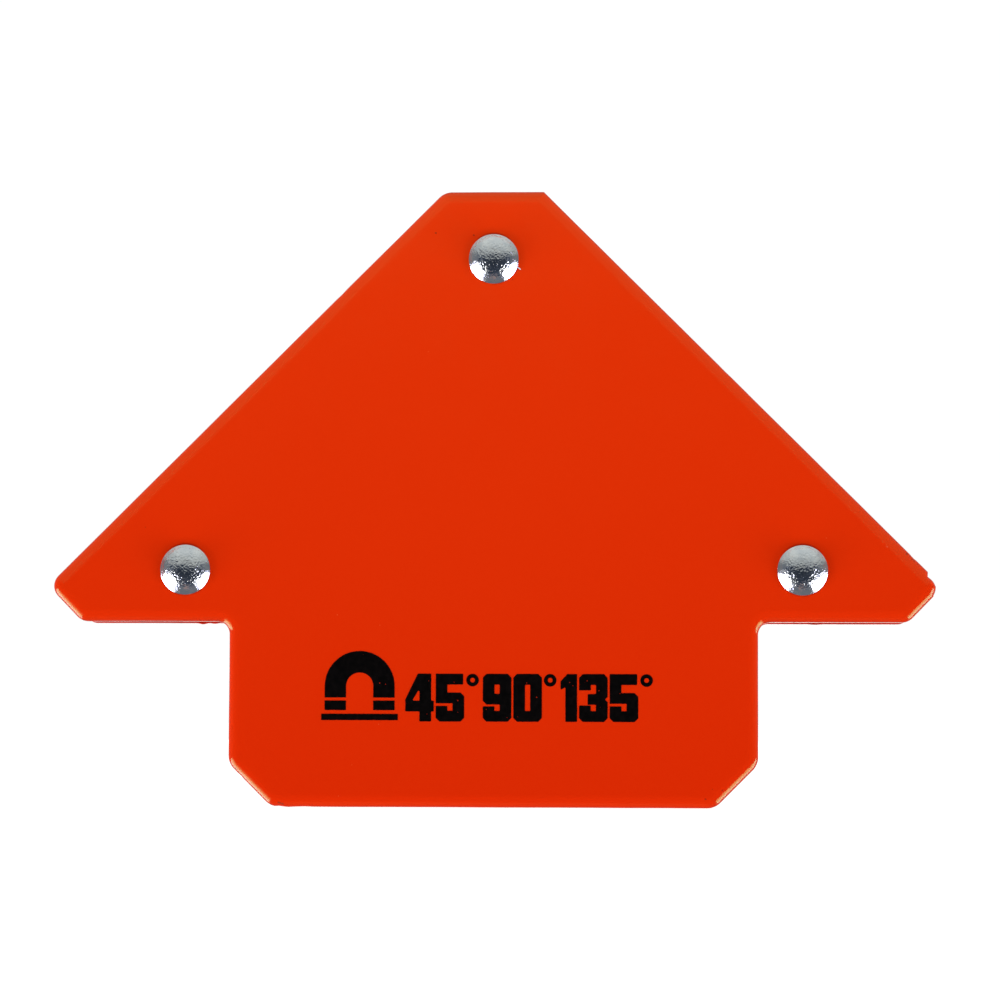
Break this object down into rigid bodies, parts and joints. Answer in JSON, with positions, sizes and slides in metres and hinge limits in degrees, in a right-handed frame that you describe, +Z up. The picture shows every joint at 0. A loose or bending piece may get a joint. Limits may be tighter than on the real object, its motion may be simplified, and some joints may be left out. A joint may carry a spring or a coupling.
{
  "type": "welding magnet holder",
  "caption": "Arrow-shaped flat magnetic holder that sets steel workpieces at 45, 90 and 135 degrees for welding: painted steel plates riveted over a magnet core.",
  "frame": {"origin": "centre of the stem's bottom edge, midway between the two plates: the holder stands on this edge", "axes": "+Z up from the stem's bottom edge to the apex, +X to the right along the arms as seen from the front, and the front plate faces -Y"},
  "size_m": [0.12, 0.0142, 0.084],
  "materials": {
    "orange_paint": "gloss",
    "orange_plastic": "satin",
    "ferrite": "matte",
    "zinc_plate": "gloss",
    "aluminium": "satin"
  },
  "bodies": {
    "root": {"front_plate": "orange_paint", "rear_plate": "orange_paint", "apex_insert": "orange_plastic", "left_arm_insert": "orange_plastic", "right_arm_insert": "orange_plastic", "base_insert": "orange_plastic", "centre_insert": "orange_plastic", "magnet_upper_diagonal_left": "ferrite", "magnet_upper_diagonal_right": "ferrite", "magnet_lower_diagonal_left": "ferrite", "magnet_lower_diagonal_right": "ferrite", "magnet_stem_left": "ferrite", "magnet_stem_right": "ferrite", "magnet_base_left": "ferrite", "magnet_base_right": "ferrite", "rivet_apex": "zinc_plate", "rivet_left": "zinc_plate", "rivet_right": "zinc_plate", "sleeve_apex": "aluminium", "sleeve_left": "aluminium", "sleeve_right": "aluminium"}
  },
  "joints": []
}
